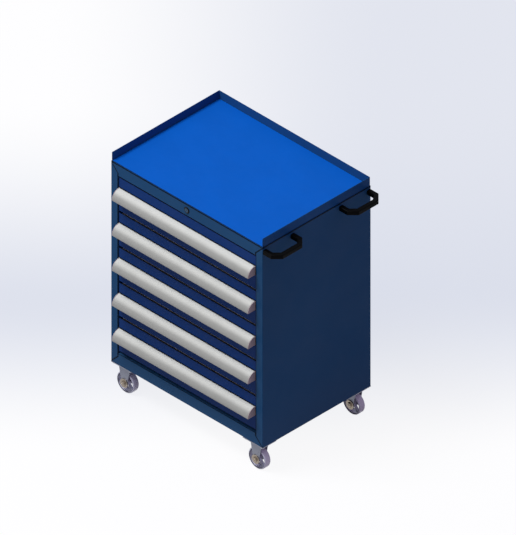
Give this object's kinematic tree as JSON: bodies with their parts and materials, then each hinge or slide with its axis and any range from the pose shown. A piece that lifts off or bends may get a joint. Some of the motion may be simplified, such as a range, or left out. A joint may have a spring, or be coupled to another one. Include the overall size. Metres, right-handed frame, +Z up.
{
  "type": "tool cabinet",
  "caption": "Wheeled heavy-duty tool cabinet with telescopic drawers, full-width pulls, a central lock, a lipped worktop tray and side push handles.",
  "frame": {"origin": "on the floor, under the middle of the whole object's box", "axes": "+Z up, drawers open towards -Y, push handles on +X"},
  "size_m": [0.765, 0.532, 0.9485],
  "materials": {
    "body_blue": "powder coat, satin",
    "tray_blue": "powder coat, satin",
    "mat_blue": "flat blue mat, matt",
    "drawer_blue": "powder coat, satin",
    "box_grey": "powder coat, light grey",
    "inner_grey": "powder coat, mid grey",
    "slide_zinc": "bright zinc",
    "pull_aluminium": "satin anodised",
    "cap_plastic": "moulded, matt",
    "handle_black": "moulded nylon, fine grain",
    "caster_grey": "zinc plated",
    "wheel_grey": "moulded nylon, satin",
    "hub_nickel": "nickel plated",
    "screw_zinc": "zinc plated",
    "lock_chrome": "chrome plated",
    "guide_plastic": "moulded nylon"
  },
  "bodies": {
    "root": {"side_panel_left": "body_blue", "side_panel_right": "body_blue", "back_panel": "body_blue", "base_pan": "body_blue", "roof_panel": "body_blue", "top_tray": "tray_blue", "top_mat": "mat_blue", "slide_uprights": "inner_grey", "outer_slides": "slide_zinc", "caster_plates": "caster_grey", "fixing_screws": "screw_zinc", "push_handle_front": "handle_black", "push_handle_rear": "handle_black", "lock_housing": "lock_chrome", "lock_guides": "guide_plastic"},
    "drawer_1": {"drawer_box_1": "box_grey", "drawer_front_1": "drawer_blue", "drawer_pull_1": "pull_aluminium", "pull_end_caps_1": "cap_plastic", "inner_slides_1": "slide_zinc"},
    "middle_slides_1": {"middle_slides_1": "slide_zinc"},
    "drawer_2": {"drawer_box_2": "box_grey", "drawer_front_2": "drawer_blue", "drawer_pull_2": "pull_aluminium", "pull_end_caps_2": "cap_plastic", "inner_slides_2": "slide_zinc"},
    "middle_slides_2": {"middle_slides_2": "slide_zinc"},
    "drawer_3": {"drawer_box_3": "box_grey", "drawer_front_3": "drawer_blue", "drawer_pull_3": "pull_aluminium", "pull_end_caps_3": "cap_plastic", "inner_slides_3": "slide_zinc"},
    "middle_slides_3": {"middle_slides_3": "slide_zinc"},
    "drawer_4": {"drawer_box_4": "box_grey", "drawer_front_4": "drawer_blue", "drawer_pull_4": "pull_aluminium", "pull_end_caps_4": "cap_plastic", "inner_slides_4": "slide_zinc"},
    "middle_slides_4": {"middle_slides_4": "slide_zinc"},
    "drawer_5": {"drawer_box_5": "box_grey", "drawer_front_5": "drawer_blue", "drawer_pull_5": "pull_aluminium", "pull_end_caps_5": "cap_plastic", "inner_slides_5": "slide_zinc"},
    "middle_slides_5": {"middle_slides_5": "slide_zinc"},
    "lock": {"lock_cylinder": "lock_chrome", "lock_rod": "slide_zinc"},
    "lock_bar": {"lock_bar": "slide_zinc"},
    "caster_front_left": {"caster_fork_front_left": "caster_grey", "caster_axle_front_left": "hub_nickel"},
    "wheel_front_left": {"caster_wheel_front_left": "wheel_grey"},
    "caster_front_right": {"caster_fork_front_right": "caster_grey", "caster_axle_front_right": "hub_nickel"},
    "wheel_front_right": {"caster_wheel_front_right": "wheel_grey"},
    "caster_rear_left": {"caster_fork_rear_left": "caster_grey", "caster_axle_rear_left": "hub_nickel"},
    "wheel_rear_left": {"caster_wheel_rear_left": "wheel_grey"},
    "caster_rear_right": {"caster_fork_rear_right": "caster_grey", "caster_axle_rear_right": "hub_nickel"},
    "wheel_rear_right": {"caster_wheel_rear_right": "wheel_grey"}
  },
  "joints": [
    {"name": "drawer_1_slide", "type": "slide", "parent": "root", "child": "drawer_1", "axis": [0, -1, 0], "range_m": [0, 0.44]},
    {"name": "middle_slides_1_slide", "type": "slide", "parent": "root", "child": "middle_slides_1", "axis": [0, -1, 0], "range_m": [0, 0.22]},
    {"name": "drawer_2_slide", "type": "slide", "parent": "root", "child": "drawer_2", "axis": [0, -1, 0], "range_m": [0, 0.44]},
    {"name": "middle_slides_2_slide", "type": "slide", "parent": "root", "child": "middle_slides_2", "axis": [0, -1, 0], "range_m": [0, 0.22]},
    {"name": "drawer_3_slide", "type": "slide", "parent": "root", "child": "drawer_3", "axis": [0, -1, 0], "range_m": [0, 0.44]},
    {"name": "middle_slides_3_slide", "type": "slide", "parent": "root", "child": "middle_slides_3", "axis": [0, -1, 0], "range_m": [0, 0.22]},
    {"name": "drawer_4_slide", "type": "slide", "parent": "root", "child": "drawer_4", "axis": [0, -1, 0], "range_m": [0, 0.44]},
    {"name": "middle_slides_4_slide", "type": "slide", "parent": "root", "child": "middle_slides_4", "axis": [0, -1, 0], "range_m": [0, 0.22]},
    {"name": "drawer_5_slide", "type": "slide", "parent": "root", "child": "drawer_5", "axis": [0, -1, 0], "range_m": [0, 0.44]},
    {"name": "middle_slides_5_slide", "type": "slide", "parent": "root", "child": "middle_slides_5", "axis": [0, -1, 0], "range_m": [0, 0.22]},
    {"name": "lock_turn", "type": "hinge", "parent": "root", "child": "lock", "pos_m": [-0.0325, -0.234, 0.891], "axis": [0, 1, 0], "range_deg": [0, 90]},
    {"name": "lock_bar_drop", "type": "slide", "parent": "root", "child": "lock_bar", "axis": [0, 0, -1], "range_m": [0, 0.01131]},
    {"name": "caster_front_left_swivel", "type": "hinge", "parent": "root", "child": "caster_front_left", "pos_m": [-0.3365, -0.202, 0.1135], "axis": [0, 0, 1], "continuous": true},
    {"name": "wheel_front_left_spin", "type": "hinge", "parent": "caster_front_left", "child": "wheel_front_left", "pos_m": [-0.3365, -0.202, 0.04], "axis": [0, 1, 0], "continuous": true},
    {"name": "caster_front_right_swivel", "type": "hinge", "parent": "root", "child": "caster_front_right", "pos_m": [0.2715, -0.202, 0.1135], "axis": [0, 0, 1], "continuous": true},
    {"name": "wheel_front_right_spin", "type": "hinge", "parent": "caster_front_right", "child": "wheel_front_right", "pos_m": [0.2715, -0.202, 0.04], "axis": [0, 1, 0], "continuous": true},
    {"name": "caster_rear_left_swivel", "type": "hinge", "parent": "root", "child": "caster_rear_left", "pos_m": [-0.3365, 0.234, 0.1135], "axis": [0, 0, 1], "continuous": true},
    {"name": "wheel_rear_left_spin", "type": "hinge", "parent": "caster_rear_left", "child": "wheel_rear_left", "pos_m": [-0.3365, 0.234, 0.04], "axis": [0, 1, 0], "continuous": true},
    {"name": "caster_rear_right_swivel", "type": "hinge", "parent": "root", "child": "caster_rear_right", "pos_m": [0.2715, 0.234, 0.1135], "axis": [0, 0, 1], "continuous": true},
    {"name": "wheel_rear_right_spin", "type": "hinge", "parent": "caster_rear_right", "child": "wheel_rear_right", "pos_m": [0.2715, 0.234, 0.04], "axis": [0, 1, 0], "continuous": true}
  ],
  "couplings": [
    {"joint": "middle_slides_1_slide", "follows": "drawer_1_slide", "ratio": 0.5},
    {"joint": "middle_slides_2_slide", "follows": "drawer_2_slide", "ratio": 0.5},
    {"joint": "middle_slides_3_slide", "follows": "drawer_3_slide", "ratio": 0.5},
    {"joint": "middle_slides_4_slide", "follows": "drawer_4_slide", "ratio": 0.5},
    {"joint": "middle_slides_5_slide", "follows": "drawer_5_slide", "ratio": 0.5},
    {"joint": "lock_turn", "follows": "lock_bar_drop", "rad_per_m": 138.84}
  ]
}
